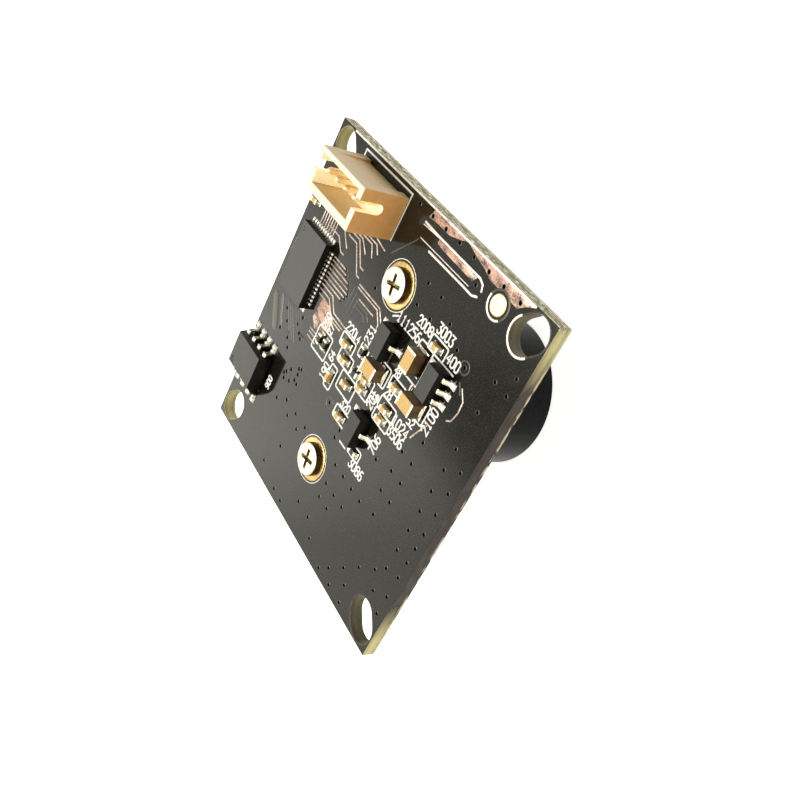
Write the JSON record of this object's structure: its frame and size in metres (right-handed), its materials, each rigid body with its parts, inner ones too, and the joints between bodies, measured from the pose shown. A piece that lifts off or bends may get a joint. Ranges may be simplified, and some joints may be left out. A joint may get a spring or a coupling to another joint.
{
  "type": "camera module",
  "caption": "Square black camera board with a processor, a memory chip and an upright wire header on one face, and a screwed lens holder with a threaded fixed-focus lens on the other.",
  "frame": {"origin": "centre of the board's four-slot pattern, on the board's lens side", "axes": "+Z out of the board's chip side, so the lens looks along -Z; +X along the header's row, away from the header's corner; +Y towards the board's edge that carries the header"},
  "size_m": [0.032, 0.032, 0.0214],
  "materials": {
    "solder_mask": "glossy black solder mask over glass-fibre laminate",
    "header_plastic": "satin moulded nylon",
    "plated_brass": "plated, bright",
    "controller_moulding": "fine matte moulding",
    "chip_moulding": "matte moulding",
    "tinned_leads": "tinned, soldered",
    "capacitor_ceramic": "fired ceramic with tinned end caps",
    "resistor_ceramic": "dark glaze with tinned end caps",
    "screw_metal": "bright nickel plate",
    "holder_plastic": "fine textured moulding",
    "filter_glass": "coated flat glass",
    "sensor_ceramic": "dark ceramic carrier",
    "silicon": "polished die with a colour filter",
    "cover_glass": "clear flat glass",
    "barrel_metal": "black anodised, satin",
    "lens_glass": "coated optical glass",
    "crystal_lid": "pressed metal lid"
  },
  "bodies": {
    "root": {"circuit_board": "solder_mask", "header_housing": "header_plastic", "header_contacts": "plated_brass", "controller_body": "controller_moulding", "controller_terminals": "tinned_leads", "memory_body": "chip_moulding", "memory_leads": "tinned_leads", "regulator_body": "chip_moulding", "regulator_leads": "tinned_leads", "transistor_body_1": "chip_moulding", "transistor_leads_1": "tinned_leads", "transistor_body_2": "chip_moulding", "transistor_leads_2": "tinned_leads", "bulk_capacitor_1": "capacitor_ceramic", "bulk_capacitor_2": "capacitor_ceramic", "bulk_capacitor_3": "capacitor_ceramic", "capacitor_1": "capacitor_ceramic", "capacitor_2": "capacitor_ceramic", "capacitor_3": "capacitor_ceramic", "capacitor_4": "capacitor_ceramic", "capacitor_5": "capacitor_ceramic", "capacitor_6": "capacitor_ceramic", "capacitor_7": "capacitor_ceramic", "capacitor_8": "capacitor_ceramic", "capacitor_9": "capacitor_ceramic", "capacitor_10": "capacitor_ceramic", "capacitor_11": "capacitor_ceramic", "capacitor_12": "capacitor_ceramic", "resistor_1": "resistor_ceramic", "resistor_2": "resistor_ceramic", "resistor_3": "resistor_ceramic", "resistor_4": "resistor_ceramic", "resistor_5": "resistor_ceramic", "holder_screws": "screw_metal", "lens_holder": "holder_plastic", "infrared_filter": "filter_glass", "sensor_package": "sensor_ceramic", "sensor_die": "silicon", "sensor_glass": "cover_glass", "lens_barrel": "barrel_metal", "lens_retaining_ring": "barrel_metal", "front_lens": "lens_glass", "second_lens": "lens_glass", "wide_spacer": "barrel_metal", "third_lens": "lens_glass", "narrow_spacer": "barrel_metal", "rear_lens": "lens_glass", "crystal": "crystal_lid", "load_capacitor_1": "capacitor_ceramic", "load_capacitor_2": "capacitor_ceramic"}
  },
  "joints": []
}
